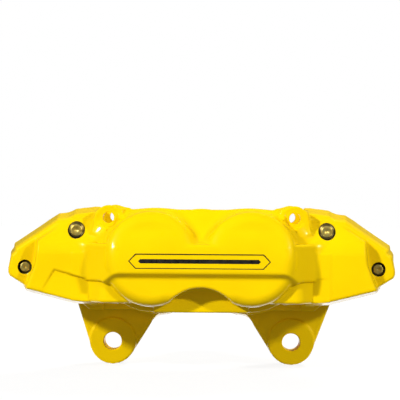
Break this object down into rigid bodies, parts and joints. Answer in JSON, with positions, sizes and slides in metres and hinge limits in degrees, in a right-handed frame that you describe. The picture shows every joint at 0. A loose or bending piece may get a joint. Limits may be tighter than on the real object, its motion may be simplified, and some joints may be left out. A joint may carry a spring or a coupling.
{
  "type": "fixed brake caliper",
  "caption": "Two-piece opposed-piston fixed brake caliper with mounting ears, bridge bolts, sliding pistons and a bleeder screw.",
  "frame": {"origin": "midpoint between the two mounting holes, on the ears' mating face", "axes": "+X along the caliper's length, -Y towards the outboard face, +Z away from the wheel's axis"},
  "size_m": [0.283, 0.1438, 0.1217],
  "materials": {
    "painted_casting": "glossy yellow enamel over a fine cast surface",
    "zinc_steel": "zinc plated, yellow-green passivated",
    "plated_piston": "ground and plated steel",
    "ring_steel": "bright spring steel",
    "rubber": "satin moulded rubber"
  },
  "bodies": {
    "caliper": {"outboard_half": "painted_casting", "inboard_half": "painted_casting", "bridge_bolts_upper": "zinc_steel", "bridge_bolts_end": "zinc_steel", "seal_outboard_left": "rubber", "seal_outboard_right": "rubber", "seal_inboard_left": "rubber", "seal_inboard_right": "rubber", "boot_outboard_left": "rubber", "boot_outboard_right": "rubber", "boot_inboard_left": "rubber", "boot_inboard_right": "rubber", "boot_ring_outboard_left": "ring_steel", "boot_ring_outboard_right": "ring_steel", "boot_ring_inboard_left": "ring_steel", "boot_ring_inboard_right": "ring_steel", "crossover_seals": "rubber"},
    "piston_outboard_left": {"piston_outboard_left": "plated_piston"},
    "piston_outboard_right": {"piston_outboard_right": "plated_piston"},
    "piston_inboard_left": {"piston_inboard_left": "plated_piston"},
    "piston_inboard_right": {"piston_inboard_right": "plated_piston"},
    "bleeder": {"bleeder_screw": "zinc_steel"},
    "cap": {"bleeder_cap": "rubber"}
  },
  "joints": [
    {"name": "piston_outboard_left_slide", "type": "slide", "parent": "caliper", "child": "piston_outboard_left", "axis": [0, 1, 0], "range_m": [0, 0.012], "deforming": ["boot_outboard_left"]},
    {"name": "piston_outboard_right_slide", "type": "slide", "parent": "caliper", "child": "piston_outboard_right", "axis": [0, 1, 0], "range_m": [0, 0.012], "deforming": ["boot_outboard_right"]},
    {"name": "piston_inboard_left_slide", "type": "slide", "parent": "caliper", "child": "piston_inboard_left", "axis": [0, -1, 0], "range_m": [0, 0.012], "deforming": ["boot_inboard_left"]},
    {"name": "piston_inboard_right_slide", "type": "slide", "parent": "caliper", "child": "piston_inboard_right", "axis": [0, -1, 0], "range_m": [0, 0.012], "deforming": ["boot_inboard_right"]},
    {"name": "bleeder_turn", "type": "hinge", "parent": "caliper", "child": "bleeder", "pos_m": [0, 0.014, 0.09], "axis": [0, 1, 0], "range_deg": [0, 270]},
    {"name": "bleeder_cap_pull", "type": "slide", "parent": "bleeder", "child": "cap", "axis": [0, 1, 0], "range_m": [0, 0.016]}
  ]
}
